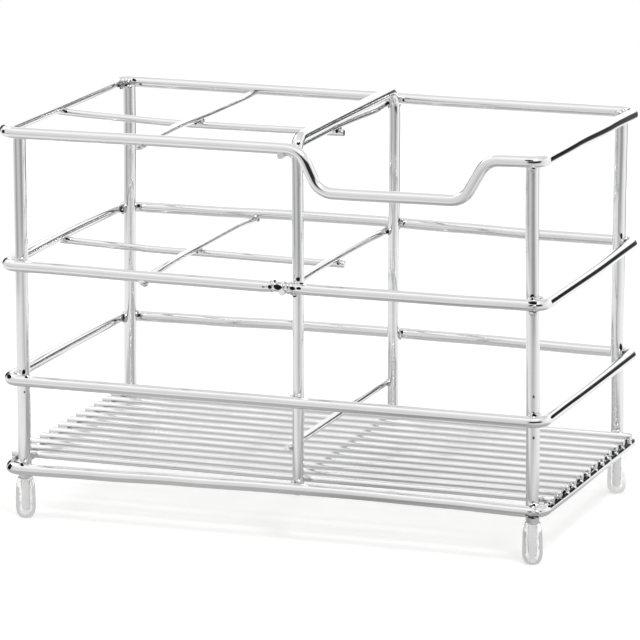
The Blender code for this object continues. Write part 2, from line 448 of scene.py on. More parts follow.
# thin wire takes a thinner, softer plating, white along its body; the grey line at its edges is painted
# shade, a colour that darkens where the wire is seen edge on
thinChromeWithPaintedEdgeShade = platedSteel(
    "chromeThinFloorWireWithPaintedEdgeShade",
    {
        # edge: painted shade, the grey that the colour turns to where the wire is seen edge on
        "bright": "#F4F4F4", "dull": "#E6E6E6", "edge": "#8F8F8F", "edgeRange": (0.5, 0.92),
        "roughLow": 0.14, "roughHigh": 0.22, "rippleDepth": 0.008, "drawnDepth": 0.0015,
    },
)
# the same plating over a weld's rough flash: patchy and dented, so that it sparkles
weldChrome = platedSteel(
    "chromeOverRoughWeld",
    {
        "bright": "#EDEDED", "dull": "#B4B4B5", "cloudSize": 1.1, "roughHigh": 0.28,
        "rippleSize": 0.8, "rippleDepth": 0.12,
    },
)
# nearly black specks in the welds' crevices and under the joints: painted shade, where the shadow falls
crevicePaintedShade = platedSteel(
    "paintedShadeInWeldCrevices",
    {
        "bright": "#2B2B2B", "dull": "#0E0E0E", "cloudSize": 0.7, "roughLow": 0.3, "roughHigh": 0.6,
        "rippleSize": 0.6, "rippleDepth": 0.10,
    },
)
# grey specks: a lighter painted shade by the joints
thinPaintedShade = platedSteel(
    "greyPaintedShadeAtJoints",
    {"bright": "#6E6E6E", "dull": "#3C3C3C", "cloudSize": 0.9, "roughLow": 0.35, "roughHigh": 0.6},
)

capSet = {
    "clear": "#F2F2F2",
    "edge": "#DEDEDE",  # the wall looks darker where it is seen along its length
    "edgeRange": (0.5, 0.95),
    "speckSize": 2.5,
    "speckDetail": 2.0,
    "speckRange": (0.3, 0.7),
    "roughLow": 0.06,
    "roughHigh": 0.14,
    "rippleSize": 2.4,
    "rippleDepth": 0.30,
    "ior": 1.5,
}
clearCap, capTree, capShader = newMaterial("clearMouldedSoftPvc")
# Clear soft PVC, dip moulded: see-through but not quite clear, so that the steel inside it shows as
# a soft grey core, with a wet looking skin
capSpot = addNode(capTree, "TexCoord").outputs["Object"]
capRough, capBump = skin(capTree, capSpot, capSet)
capTints = {"data_type": "RGBA", 6: linear(capSet["clear"]), 7: linear(capSet["edge"])}
capTint = addNode(capTree, "Mix", capTints, i0=edgeShare(capTree, capSet))
feed(capTree, capShader, Base_Color=capTint.outputs[2], Roughness=capRough, Normal=capBump)
capShader.inputs["Transmission Weight"].default_value = 1.0
capShader.inputs["IOR"].default_value = capSet["ior"]
print("materials made")


# Thick wires

thickSet = {
    "sides": 40,
    "step": 0.9,
    # the dip's bends, its distances from the hoop and the right posts, and its slopes' reach
    "dipBend": 7.5, "dipFromDivider": 3.0, "dipFromRight": 14.6, "dipLeftRun": 6.7, "dipRightRun": 8.3,
    "hoopBend": 5.0,
    "cutRim": 0.35,
    "waver": 0.035,  # the real wires aren't dead straight
    "ringWaves": (5, 9, 14), "ringSeed": 11, "postWaves": (2, 3, 5), "postSeed": 31,
    # the upper ring's butt weld: place, length of its pinch and depth
    "buttWeld": 6.2, "buttLength": 7.5, "buttPinch": 0.4,
    # how far each real ring is bent: place on the ring, move up and, if there is one, move across
    "baseBows": (
        (-92, -53.6, -0.7), (-64, -53.6, -0.3), (-32, -53.6, 0.4), (0, -53.6, 0.9), (32, -53.6, 1.1),
        (64, -53.6, 0.8), (92, -53.6, 0.3), (97.1, 0, -0.3), (92, 53.6, -0.6), (0, 53.6, 0.2),
        (-92, 53.6, -0.6), (-97.1, 0, -0.6),
    ),
    "middleBows": (
        (-92, -53.6, -0.4), (-32, -53.6, -0.2), (92, -53.6, -0.15), (97.1, 0, -0.4), (92, 53.6, -0.25),
        (32, 53.6, 0.35), (0, 53.6, 0.6), (-32, 53.6, 0.4), (-64, 53.6, -0.25), (-92, 53.6, -0.6),
        (-97.1, 0, -0.3),
    ),
    "upperBows": (
        (-92, -53.6, 0.1), (-32, -53.6, -0.4), (0, -53.6, -0.55), (64, -53.6, -0.65), (92, -53.6, -0.4),
        (97.1, 0, -0.6), (92, 53.6, -0.1), (64, 53.6, 0), (32, 53.6, 0.5), (0, 53.6, 0.95),
        (-32, 53.6, 0.85), (-64, 53.6, 0.4), (-92, 53.6, 0.1), (-97.1, 0, 0.6),
    ),
    "topBows": (
        (-92, -53.6, -0.1), (-32, -53.6, 0.25), (0, -53.6, 0.3), (28, -53.6, -0.1), (60, -53.6, 0.3),
        (80, -53.6, 0.8), (92, -53.6, 1.05, -0.6), (97.1, -20, 0.8, -0.3), (97.1, 20, -0.1),
        (92, 53.6, -0.95), (32, 53.6, -1), (0, 53.6, -0.75), (-92, 53.6, -0.55), (-97.1, 0, -0.4),
    ),
    # how far each upright leans to the right: height and move
    "front_leftLean": ((10, 0), (137, 0.2)),
    "front_rightLean": ((60, 0), (130, -0.55)),
    "back_leftLean": ((8, -0.3), (26, -0.5), (65, 0), (130, 0.6)),
    "back_rightLean": ((30, 0), (60, -0.3), (76, 0), (101, 0.2), (130, 0.6)),
    "hoopFrontLean": ((30, 0), (60, 0.3), (84, 0.45), (130, 0.4), (140, 0.05)),
    "hoopBackLean": ((26, -0.5), (42, -0.35), (70, -0.2), (111, 0.3), (130, 0.5), (140, 0.15)),
}
cornerBend = ringHigh[0] - postPlace[0]
thickStep = thickSet["step"] * mm


def ringLine(height, dip=()):
    # rectangle round the posts, with bends that share their centres with the posts
    (left, front), (right, back) = ringLow[:2], ringHigh[:2]
    places = [(left, front, height)] + [(x, front, z) for x, z in dip]
    places += [(right, front, height), (right, back, height), (left, back, height)]
    bends = [cornerBend] + [thickSet["dipBend"] * mm] * len(dip) + [cornerBend] * 3
    return bentLine(places, bends, True, thickStep)


dipLeft = dividerX + thickSet["dipFromDivider"] * mm
dipRight = postPlace[0] - thickSet["dipFromRight"] * mm
lowLeft = dipLeft + thickSet["dipLeftRun"] * mm
lowRight = dipRight - thickSet["dipRightRun"] * mm
topDip = ((dipLeft, level["top"]), (lowLeft, dipZ), (lowRight, dipZ), (dipRight, level["top"]))
ringLines = {}
for number, name in enumerate(("base", "middle", "upper", "top")):
    flat = ringLine(level[name], topDip if name == "top" else ())
    line = bowed(flat, thickSet[name + "Bows"])
    ringLines[name] = flat, line
    if name != "top":
        line = waver(line, thickSet, "ring", number, (2,))
    width = ringRadius
    if name == "upper":
        # the ring is pinched at its butt weld, where the weld's flash stands round it
        gap = np.abs(line[:, 0] - thickSet["buttWeld"] * mm) / (thickSet["buttLength"] * mm)
        width = ringRadius - thickSet["buttPinch"] * mm * np.clip(2 - 2 * gap, 0, 1) * (line[:, 1] < 0)
    arrays = sweptWire(line, width, thickSet["sides"], upward, True)
    putPiece("chrome_" + name + "_ring", arrays, chrome, "chrome_wire", name + "_ring")

hoopX, hoopY = dividerX, hoopHigh[1] - ringRadius
hoopTopZ = hoopHigh[2] - ringRadius
hoopBend = thickSet["hoopBend"] * mm
hoopTurns = ((-hoopY, hoopLow[2]), (-hoopY, hoopTopZ), (hoopY, hoopTopZ), (hoopY, hoopLow[2]))
hoopLine = bentLine([(hoopX, y, z) for y, z in hoopTurns], (0, hoopBend, hoopBend, 0), False, thickStep)


def lean(heights, key):
    # move to the right at each height, from the settings
    rows = np.array(thickSet[key]) * mm
    return eased(heights, rows[:, 0], rows[:, 1])


# the hoop's top bar goes over from its front leg's lean to its back leg's
backward = eased(hoopLine[:, 1], (-hoopY, hoopY), (0, 1))
frontMove, backMove = (lean(hoopLine[:, 2], key) for key in ("hoopFrontLean", "hoopBackLean"))
hoopLine[:, 0] += frontMove * (1 - backward) + backMove * backward
hoopArrays = sweptWire(hoopLine, ringRadius, thickSet["sides"], across, False, thickSet["cutRim"] * mm)
putPiece("chrome_divider_hoop", hoopArrays, chrome, "chrome_wire", "divider_hoop")

postPlaces = {
    f"{depth}_{side}": (postPlace[0] * x, postPlace[1] * y)
    for depth, y in (("front", -1), ("back", 1))
    for side, x in (("left", -1), ("right", 1))
}
for number, (name, (x, y)) in enumerate(postPlaces.items()):
    line = straightLine((x, y, postLow[2]), (x, y, postHigh[2]), thickStep)
    line = waver(line, thickSet, "post", number, (0, 1))
    line[:, 0] += lean(line[:, 2], name + "Lean")
    arrays = sweptWire(line, postRadius, thickSet["sides"], across, False, thickSet["cutRim"] * mm)
    putPiece("chrome_post_" + name, arrays, chrome, "chrome_wire", "corner_post_" + name)
print("thick wires made")


# Thin wires

thinSet = {
    "sides": 26,
    "step": 1.6,
    "cutRim": 0.25,
    "waver": 0.05,
    "floorWaves": (3, 5, 8),
    "floorSeed": 51,
    "floorWires": 12,
    "floorRise": 2.8,  # above the base ring's middle: the welds sink the wires into each other
    "dividerShift": 0.3,  # how far the welds sink the wires by the hoop into its legs
    # heights above the ring's middle, at distances behind the front posts
    "topCross": ((-6.3, -1.8), (14, -1.1), (32, -1), (49, -1.5), (78, -1.9), (91, -2), (104.3, -1.8)),
    "upperCross": ((-6.3, -1.9), (10, -0.9), (30, -0.4), (49, -0.3), (70, -0.2), (89, -0.4), (104.3, -1.7)),
    "topDivider": ((-6.3, -1.7), (18, -1.4), (49, -1.5), (62, -1.9), (76, -2.4), (91, -2.9), (104.3, -1.9)),
    "upperDivider": ((-6.3, -1.7), (17, -1), (49, -0.9), (68, -1), (83, -1.2), (95, -1.6), (104.3, -1.9)),
    # and the same for the lengthwise wires, at distances from the left posts
    "topLengthwise": ((-6.3, -2.4), (1, -2.8), (18, -3.4), (35, -4), (48, -4.1), (71, -4), (100.8, -3.8)),
    "upperLengthwise": ((-6.3, -1.8), (0, -2), (18, -2.6), (35, -3), (48, -3), (75, -3.3), (100.8, -3.4)),
}
thinStep = thinSet["step"] * mm


def thinPiece(name, line, node, material=chrome):
    # a cut thin wire along the line
    arrays = sweptWire(line, thinRadius, thinSet["sides"], upward, False, thinSet["cutRim"] * mm)
    return putPiece(name, arrays, material, "chrome_wire", node)


def crossLine(x, height, key):
    # front to back under a ring, through the heights of the settings
    rows = np.array(thinSet[key]) * mm
    return smoothLine([(x, y - postPlace[1], height + z) for y, z in rows], thinStep)


def lengthLine(height, key):
    # left side to just past the hoop, through the heights of the settings
    rows = np.array(thinSet[key]) * mm
    return smoothLine([(x - postPlace[0], 0, height + z) for x, z in rows], thinStep)


dividerSunkX = dividerWireX + thinSet["dividerShift"] * mm
for name in ("top", "upper"):
    height = level[name]
    for label, node, line in (
        ("cross", f"grid_{name}_cross", crossLine(crossX, height, name + "Cross")),
        ("divider_wire", f"divider_{name}_wire", crossLine(dividerSunkX, height, name + "Divider")),
        ("lengthwise", f"grid_{name}_lengthwise", lengthLine(height, name + "Lengthwise")),
    ):
        thinPiece(f"chrome_{name}_{label}", line, node)

lowFront, lowBack = corners("divider_low_wire")
lowZ = middle("divider_low_wire")[2]
lowLine = straightLine((dividerSunkX, lowFront[1], lowZ), (dividerSunkX, lowBack[1], lowZ), thinStep)
thinPiece("chrome_low_divider_wire", lowLine, "divider_low_wire")

floorY = []
height = level["base"] + thinSet["floorRise"] * mm
for number in range(1, thinSet["floorWires"] + 1):
    node = f"floor_wire_{number:02d}"
    low, high = corners(node)
    y = middle(node)[1]
    floorY.append(y)
    line = straightLine((low[0], y, height), (high[0], y, height), thinStep)
    line = waver(line, thinSet, "floor", number, (1, 2))
    thinPiece("chrome_" + node, line, node, thinChromeWithPaintedEdgeShade)
print("thin wires made")


# Welds

weldSet = {
    "seed": 7,
    "lump": 0.22,  # how uneven a bead is, as a share of its size
    "floorLump": 0.1,
    "turn": 0.25,  # about the upright, in radians
    "spread": (0.75, 1.25),  # of the beads' sizes
    # how far the beads and specks of each kind stray from their places
    "stray": {
        "corner": 0.25, "leg": 0.2, "grid": 0.15, "floorSide": 0.2, "floorEnd": 0.05,
        "underCorner": 0.25, "rightSpeck": 0.3, "leftSpeck": 0.4,
    },
    # beads along each corner bend, off the post and over and under the ring's middle
    "cornerAngles": (8, 42, 80), "cornerOff": 0.1, "cornerSize": (1, 1, 0.6),
    "cornerRises": (1.65, -1.65), "topCornerRises": (0.9, -1.65),
    # a painted shade speck under each: share of the bead's distance, height and size
    "underCorner": (1.05, -2.1, (0.45, 0.45, 0.3)),
    # four beads round each contact of the hoop's legs
    "legAside": 1.3, "legRises": (-1.4, 1.4), "topLegRises": (-2, 0.6), "legSize": (0.8, 0.55, 0.85),
    # small beads of the grid, by joint: distance aside, height over the ring's middle and size
    "wireEnds": (1.15, -1.9, (0.5, 1.3, 0.5)),
    "crossings": (1.1, -2.6, (0.5, 0.5, 0.5)),
    "leftEnds": (1.15, -2.1, (1.3, 0.5, 0.5)),
    # and by the hoop's legs, with the heights for the top and the upper ring
    "hoopSides": (1.1, (-2.3, -1.5), (0.5, 0.9, 0.5)),
    # flash along the floor wires' ends, and a drop pressed down over each end: distance aside or
    # outwards, height over the ring's middle and size, and the drop's own reach across the bar
    "floorSides": (1.15, 1.95, (1.35, 0.5, 0.5)),
    "floorEnds": (0.72, 0.45, (1.25, 1.45, 1.75)),
    "floorEndReach": 1.22,
    # flash of the upper ring's butt weld: x, height above the ring, size along, size across
    "butt": (
        (0.3, -0.1, 0.9, 1.85), (1.5, 0.25, 1, 1.95), (2.9, 0.35, 1.2, 2), (4.5, 0.1, 1.4, 1.95),
        (6.2, 0.3, 1, 1.9), (7.5, -0.1, 1.1, 1.95), (8.8, -0.3, 1.2, 2), (10.2, -0.2, 1.1, 1.95),
        (11.7, 0.1, 1, 1.85),
    ),
    "buttInset": 0.1,
    "buttDepth": 0.93,  # front to back, as a share of the size across
    # larger drops seen at single joints: place and size
    "drops": (
        (94.3, -54.1, 89.6, 1.7, 1.3, 1.2), (93, -51.3, 86.9, 1.5, 0.9, 1.3),
        (8.9, -51.3, 87.4, 1.1, 0.8, 1), (-45.9, -54.2, 134.9, 1.3, 1.2, 1.1),
        (-44.6, -54.3, 87.7, 1.3, 1.2, 1.1), (5.2, -54.2, 134.8, 1.2, 1.2, 1.1),
        (93.6, 50.6, 91, 1.1, 1, 1.2), (93.6, 50.6, 51, 1.1, 1, 1.2), (6.8, 49.2, 33.6, 1, 1.3, 0.9),
        (6.7, -50, 33.5, 0.9, 1.1, 0.9), (92.7, 47.4, 136.8, 1.4, 0.8, 0.9),
        (93.6, -54, 136.2, 1.5, 1.3, 1.2), (-91.5, 51, 91.8, 1.3, 0.8, 0.8),
        (-91.5, 51, 51.9, 1.3, 0.8, 0.8), (11.3, 51.2, 92.2, 1, 0.8, 1.1),
        (94.8, -54.2, 19.2, 2.1, 1.3, 1.5),
    ),
    # painted shade in the crevices by the floor wires' right ends, from the bar's and the wire's middle
    "rightSpecks": ((0.85, -2.9, 1.85), (1.3, -4.5, 1.6)),
    "rightSpeckSize": (0.42, 0.7, 0.42),
    # a grey painted shade at their left ends
    "leftSpecks": ((2.3, -2, 0.7),),
    "leftSpeckSize": (1.1, 1.1, 0.8),
    # and on the posts and along the lower edges of the front right corners' welds
    "thinSpecks": (
        (92.4, -55.2, 18.4, 0.8, 0.4, 0.3), (93.4, -55, 17.6, 0.7, 0.5, 0.3),
        (94.5, -54.7, 17.3, 1, 0.5, 0.3), (93.4, -51.1, 58.1, 0.4, 0.25, 0.5),
        (93.4, -51.1, 44, 0.4, 0.25, 0.5), (-91.3, -51, 45.2, 0.35, 0.2, 0.4),
        (95.8, -54.6, 17.9, 0.7, 0.5, 0.3), (93.4, -54.1, 88.1, 1.1, 0.6, 0.3),
        (94.6, -53.9, 88.3, 0.8, 0.5, 0.3),
    ),
    # dark specks of painted shade: place and size
    "specks": (
        (-95.5, -54.7, 137.3, 0.6, 0.6, 0.6), (-95.5, 47.5, 135.8, 0.6, 0.7, 0.5),
        (-91, 51.7, 137.4, 0.8, 0.4, 0.5), (-88.4, 51.9, 136.1, 0.7, 0.4, 0.4),
        (-92.4, 47, 136.3, 0.6, 0.5, 0.4), (-1.3, -55.3, 89.8, 1, 0.3, 0.25),
        (1.4, -55.2, 89.9, 0.8, 0.5, 0.7), (4.3, -55.2, 90, 1.4, 0.5, 0.85),
        (9.4, -55.2, 90, 1.1, 0.5, 0.7), (11.9, -55.2, 90.1, 0.9, 0.45, 0.45),
        (3, -54.6, 92, 0.5, 0.5, 0.3), (10, -51.1, 92.3, 0.7, 0.4, 0.8),
        (12.6, -54.8, 91.8, 0.7, 0.3, 0.3), (8.8, -51.5, 86.6, 0.7, 0.4, 0.5),
        (92.8, -51.2, 92.4, 0.8, 0.35, 0.7), (94.2, -54.9, 91, 1.5, 0.5, 0.5),
        (94, -52.4, 52.2, 0.7, 0.5, 0.5), (11, 49.4, 93, 0.3, 0.5, 0.7), (12, 51.8, 91.3, 0.6, 0.4, 0.5),
        (12.1, 51.9, 135.9, 0.6, 0.4, 0.5), (11.2, 51.9, 51.5, 0.6, 0.4, 0.5),
        (-89.9, 51.8, 91.1, 0.6, 0.4, 0.6), (-90.4, 51.6, 50.3, 0.6, 0.4, 0.6),
        (93.9, 47.3, 93.2, 0.5, 0.35, 1.2), (94.2, 47.3, 53.2, 0.5, 0.35, 1.2),
        (-95.4, -54.5, 51.2, 0.8, 0.7, 0.8), (-91.3, -51.1, 52.4, 0.6, 0.4, 0.8),
        (-88.9, -54.9, 51.6, 0.5, 0.3, 0.4), (-95.9, -54.4, 18.9, 0.8, 0.8, 1),
        (-91.3, -54.6, 20.3, 0.7, 0.5, 0.5), (-95.2, -1.2, 134.8, 0.7, 0.5, 0.4),
        (-95.5, -1.9, 89.2, 0.6, 0.6, 0.4), (-46.3, -1.3, 133.6, 0.5, 0.4, 0.5),
        (-46.3, -1.2, 87.7, 0.5, 0.4, 0.5), (6.1, -1.2, 133.7, 0.5, 0.4, 0.5),
        (6.3, -1.2, 87.2, 0.5, 0.4, 0.5), (6.9, 49, 135, 0.5, 0.9, 0.6), (7, 48.6, 88.6, 0.5, 0.9, 0.7),
        (6.7, -50.2, 34.1, 0.4, 0.4, 0.3), (6.7, 49.4, 34.1, 0.4, 0.8, 0.4),
        (10.1, -49.9, 138.6, 0.6, 0.7, 0.5), (94.2, -52.8, 21, 0.55, 0.4, 0.9),
        (93.4, -53.9, 20.8, 0.6, 0.5, 0.45), (92.5, -54.6, 20.3, 0.7, 0.5, 0.4),
        (93.4, -53.1, 91.9, 0.4, 0.4, 0.5), (92.9, -55.3, 138.9, 1.8, 0.25, 0.25),
    ),
}
draw = np.random.default_rng(weldSet["seed"])


def moveAt(name, x, y):
    # how far the ring's nearest point has been moved from where it was flat
    flat, real = ringLines[name]
    near = np.hypot(flat[:, 0] - x, flat[:, 1] - y).argmin()
    return real[near] - flat[near]


def rowsOf(key):
    # places and sizes from the settings' rows of six numbers
    rows = np.array(weldSet[key]) * mm
    return rows[:, :3], rows[:, 3:]


def placeBeads(name, material, *groups, lump=weldSet["lump"]):
    # each group holds places and sizes along x, y and z, and every bead gets its own turn and lumps
    places, sizes = (np.concatenate(parts) for parts in zip(*groups))
    turns = draw.uniform(-weldSet["turn"], weldSet["turn"], len(places))
    points, *faces = beadField(places, sizes, turns, weldSet["seed"], lump)
    return putPiece(name, (np.clip(points, *cadBox), *faces), material, "chrome_wire")


def vary(kind, places, sizes):
    # uneven beads: their sizes change and their places stray, both by random shares
    places, stray = np.array(places), weldSet["stray"][kind]
    sizes = np.array(sizes) * mm * draw.uniform(*weldSet["spread"], (len(places), 3))
    return places + draw.uniform(-stray, stray, places.shape) * mm, sizes


def alongFloor(x, offsets):
    # the offsets from the bar's middle, each at every floor wire
    return [(x + a, y + b, level["base"] + c) for a, b, c in np.array(offsets) * mm for y in floorY]


both = (-1, 1)  # on either side
bars = (ringLow[0], ringHigh[0])

# posts in the rings' corners: beads over and under each bend
beads, specks = [], []
off, speckRise, speckSize = weldSet["underCorner"]
for name, height in level.items():
    rises = weldSet["topCornerRises" if name == "top" else "cornerRises"]
    for x, y in postPlaces.values():
        for angle in np.radians(weldSet["cornerAngles"]):
            reach = np.sign((x, y)) * (postRadius + weldSet["cornerOff"] * mm)
            reach *= (math.cos(angle), math.sin(angle))
            move = moveAt(name, *((x, y) + reach))
            beads += [move + (*((x, y) + reach), height + rise * mm) for rise in rises]
            specks.append(move + (*((x, y) + reach * off), height + speckRise * mm))
placeBeads("weld_corner_posts", weldChrome, vary("corner", beads, weldSet["cornerSize"]))

# the hoop's legs on the rings
beads = []
for name, height in level.items():
    rises = weldSet["topLegRises" if name == "top" else "legRises"]
    for side in both:
        y = (abs(ringLow[1]) - ringRadius) * side
        move = moveAt(name, hoopX, y)
        for a in both:
            beads += [move + (hoopX + a * weldSet["legAside"] * mm, y, height + b * mm) for b in rises]
placeBeads("weld_divider_hoop", weldChrome, vary("leg", beads, weldSet["legSize"]))

# thin wires under the rings, against the hoop's legs and over each other
beads, sizes = [], []
for name in ("top", "upper"):
    for x in (crossX, dividerSunkX):
        aside, rise, size = weldSet["wireEnds"]
        for y in (ringLow[1], ringHigh[1]):
            beads += [(x + a * aside * mm, y, level[name] + rise * mm) for a in both]
            sizes += [size] * 2
        aside, rise, size = weldSet["crossings"]
        for a in both:
            beads += [(x + a * aside * mm, b * aside * mm, level[name] + rise * mm) for b in both]
            sizes += [size] * 2
    aside, rise, size = weldSet["leftEnds"]
    beads += [(ringLow[0], a * aside * mm, level[name] + rise * mm) for a in both]
    sizes += [size] * 2
aside, (topRise, upperRise), size = weldSet["hoopSides"]
for height in (lowZ, level["top"] + topRise * mm, level["upper"] + upperRise * mm):
    for y in (-hoopY, hoopY):
        beads += [((dividerSunkX + hoopX) / 2, y, height + a * aside * mm) for a in both]
        sizes += [size] * 2
placeBeads("weld_grid", weldChrome, vary("grid", beads, sizes))

# the floor wires' ends on the base ring's sides
aside, rise, size = weldSet["floorSides"]
height = level["base"] + rise * mm
beads = [(x, y + a * aside * mm, height) for x in bars for y in floorY for a in both]
floorBeads = vary("floorSide", beads, size)
out, rise, size = weldSet["floorEnds"]
height = level["base"] + rise * mm
beads = [(x + np.sign(x) * out * mm, y, height) for x in bars for y in floorY]
endBeads = vary("floorEnd", beads, size)
endBeads[1][:, 0] = weldSet["floorEndReach"] * mm
placeBeads("weld_floor_wires", weldChrome, floorBeads, endBeads, lump=weldSet["floorLump"])

# the upper ring's butt weld and the larger drops
x, rise, wide, high = np.array(weldSet["butt"]).T * mm
y = 0 * x + ringLow[1] + weldSet["buttInset"] * mm
buttPlaces = np.stack((x, y, level["upper"] + rise), -1)
buttPlaces += moveAt("upper", thickSet["buttWeld"] * mm, ringLow[1])
buttSizes = np.stack((wide, weldSet["buttDepth"] * high, high), -1)
placeBeads("weld_butt_and_drops", weldChrome, (buttPlaces, buttSizes), rowsOf("drops"))

# painted shade: the dark specks seen, one under each corner bead and two by each floor wire's right end.
# A greyer painted shade stands by their left ends and on the front right corners
underCorners = vary("underCorner", specks, speckSize)
rightSpecks = alongFloor(ringHigh[0], weldSet["rightSpecks"])
squiggles = vary("rightSpeck", rightSpecks, weldSet["rightSpeckSize"])
placeBeads("weld_painted_shade_specks", crevicePaintedShade, rowsOf("specks"), underCorners, squiggles)
leftSpecks = alongFloor(ringLow[0], weldSet["leftSpecks"])
wedges = vary("leftSpeck", leftSpecks, weldSet["leftSpeckSize"])
placeBeads("weld_thin_painted_shade", thinPaintedShade, wedges, rowsOf("thinSpecks"))
print("welds made")


# Caps

capForm = {
    "sides": 48,
    "step": 0.25,
    # half section in mm from the middle of the bore's floor, up the bore, over the mouth and down
    # the outside to the middle of the base: radius, height
    "section": (
        (0, 2.3), (1, 2.3), (1.9, 2.34), (2.34, 2.6), (2.42, 3.2), (2.44, 6), (2.44, 10), (2.42, 12.6),
        (2.36, 13.9), (2.44, 14.35), (2.62, 14.3), (2.72, 13.9), (2.84, 13.3), (3.06, 12.6), (3.24, 11.6),
        (3.34, 10.2), (3.4, 8.4), (3.45, 6.2), (3.46, 4.4), (3.4, 3.1), (3.2, 1.9), (2.8, 0.95),
        (2.2, 0.3), (1.5, 0), (0.8, 0), (0, 0),
    ),
}
section = [(radius, 0, height) for radius, height in np.array(capForm["section"]) * mm]
section = np.maximum(smoothLine(section, capForm["step"] * mm), 0)
for name, (x, y) in postPlaces.items():
    arrays = turnedForm(section[:, 0], section[:, 2], (x, y, 0.0), capForm["sides"])
    putPiece("clear_cap_" + name, arrays, clearCap, "clear_cap", "foot_cap_" + name)
print("caps made")


# Studio: floor, world, lamps and camera

studioSet = {
    "floorColour": "#F2F2F1", "floorRadius": 900, "floorSides": 96, "floorGlow": 0.34,
    # brightness that the wires mirror of the floor, by bearing: 0 is the front, 90 the right.
    # Close to the rack, half way out and at the table's edge, with the distances of the changes
    "floorClose": (
        (-180, 1.06), (-100, 1.06), (-20, 1.04), (2, 0.97), (26, 0.7), (52, 0.95), (100, 1.1),
        (180, 1.06),
    ),
    "floorMiddle": (
        (-180, 1.12), (-100, 1.08), (-50, 1.06), (-20, 1), (0, 0.88), (15, 0.69), (28, 0.6), (45, 0.76),
        (72, 1), (105, 1.16), (180, 1.12),
    ),
    "floorEdge": (
        (-180, 1.1), (-90, 1.05), (-62, 0.62), (-46, 0.42), (-30, 0.6), (-8, 0.78), (10, 0.64),
        (32, 0.38), (52, 0.44), (74, 0.9), (105, 1.16), (139, 1.16), (145, 0.05), (160, 0.1), (169, 0.3),
        (175, 1.1), (180, 1.1),
    ),
    # under the rack the mirrored floor takes a painted shade, for the rack's own shadow: tone, middle and
    # reach in mm
    "shade": 0.55, "shadePlace": (0, -30), "shadeReach": (180, 100),
    "shadeChange": (0.8, 1.35),  # as shares of its reach
    "closeEnds": (0.18, 0.3),
    "edgeStarts": (0.38, 0.54),
    "roomColour": "#F5F5F5",
    "roomStrength": 0.8,
    "wallsMeet": (-0.25, 0.25),  # from the front wall's tones to the back wall's
    # brightness that they mirror of the walls, by the direction's height: -1 is down and 1 is up
    "backWall": ((-1, 0.9), (-0.2, 1.3), (0.45, 1.35), (0.64, 0.88), (1, 1)),
    "frontWall": ((-1, 0.9), (0, 0.9), (0.6, 1), (0.86, 1.34), (1, 1.05)),
    # and of the room at eye height, by bearing, with how much of it shows at each height
    "eyeHeight": (
        (-180, 1.3), (-157, 1.3), (-149, 0.03), (-124, 0.03), (-112, 0.9), (-21, 0.9), (-12, 0.88),
        (0, 0.03), (66, 0.03), (76, 0.9), (110, 1.2), (180, 1.3),
    ),
    "eyeShare": ((-1, 0), (-0.2, 0), (-0.17, 2), (0.35, 2), (0.44, 0), (1, 0)),
    # black card at the back right of the table, that only the wires see: it draws their dark lines
    "cardRadius": 850, "cardTop": 290, "cardSteps": 48,
    "cardTone": ((144, 0.02), (153, 0.02), (160, 0.16), (166, 0.34), (172, 1.1)),
}
rampWhite = 2.0  # a ramp holds no more than white, so its white stands for this brightness


def brightnessRamp(tree, stops, source):
    # the brightness at each place, as a share of what the ramp's white stands for
    low, high = stops[0][0], stops[-1][0]
    share = addNode(tree, "MapRange", readFrom((low, high)), Value=source)
    ramp = addNode(tree, "ValToRGB", Fac=share)
    while len(ramp.color_ramp.elements) < len(stops):
        ramp.color_ramp.elements.new(0.5)
    for element, (place, brightness) in zip(ramp.color_ramp.elements, stops):
        element.position = (place - low) / (high - low)
        element.color = (*[brightness / rampWhite] * 3, 1.0)
    return ramp


def bearingOf(tree, place):
    # degrees from the front towards the right, of a place or direction
    parts = addNode(tree, "SeparateXYZ", Vector=place)
    front = addNode(tree, "Math", {"operation": "MULTIPLY", 1: -1.0}, i0=parts.outputs["Y"])
    turn = addNode(tree, "Math", {"operation": "ARCTAN2"}, i0=parts.outputs["X"], i1=front)
    return addNode(tree, "Math", {"operation": "DEGREES"}, i0=turn)


def seenPlain(tree, path):
    # 1 for what the camera sees, straight or through a cap
    straight, through = path.outputs["Is Camera Ray"], path.outputs["Is Transmission Ray"]
    return addNode(tree, "Math", {"operation": "MAXIMUM"}, i0=straight, i1=through)


floorMaterial, floorTree, floorShader = newMaterial("matWhiteTable")
# Painted board: even, matt and near white. What the wires mirror of it is a painted glow with the settings'
# tones, and a painted shade under the rack
floorShader.inputs["Base Color"].default_value = linear(studioSet["floorColour"])
floorShader.inputs["Roughness"].default_value = 0.9
floorShader.inputs["Specular IOR Level"].default_value = 0.2
floorShader.inputs["Emission Color"].default_value = linear("#FFFFFF")
floorPath = addNode(floorTree, "LightPath")
floorSeen = seenPlain(floorTree, floorPath)
floorGlow = addNode(floorTree, "Math", {"operation": "MULTIPLY", 1: studioSet["floorGlow"]}, i0=floorSeen)
feed(floorTree, floorShader, Emission_Strength=floorGlow)
floorSpot = addNode(floorTree, "TexCoord").outputs["Object"]
floorBearing = bearingOf(floorTree, floorSpot)
floorFar = addNode(floorTree, "VectorMath", {"operation": "LENGTH"}, i0=floorSpot).outputs["Value"]
floorTone = brightnessRamp(floorTree, studioSet["floorClose"], floorBearing)
smooth = {"interpolation_type": "SMOOTHSTEP"}
for tone, change in (("floorMiddle", "closeEnds"), ("floorEdge", "edgeStarts")):
    share = addNode(floorTree, "MapRange", {**smooth, **readFrom(studioSet[change])}, Value=floorFar)
    further = brightnessRamp(floorTree, studioSet[tone], floorBearing)
    mixed = addNode(floorTree, "Mix", {"data_type": "RGBA"}, i0=share, i6=floorTone, i7=further)
    floorTone = mixed.outputs[2]
(shadeX, shadeY), (reachX, reachY) = studioSet["shadePlace"], studioSet["shadeReach"]
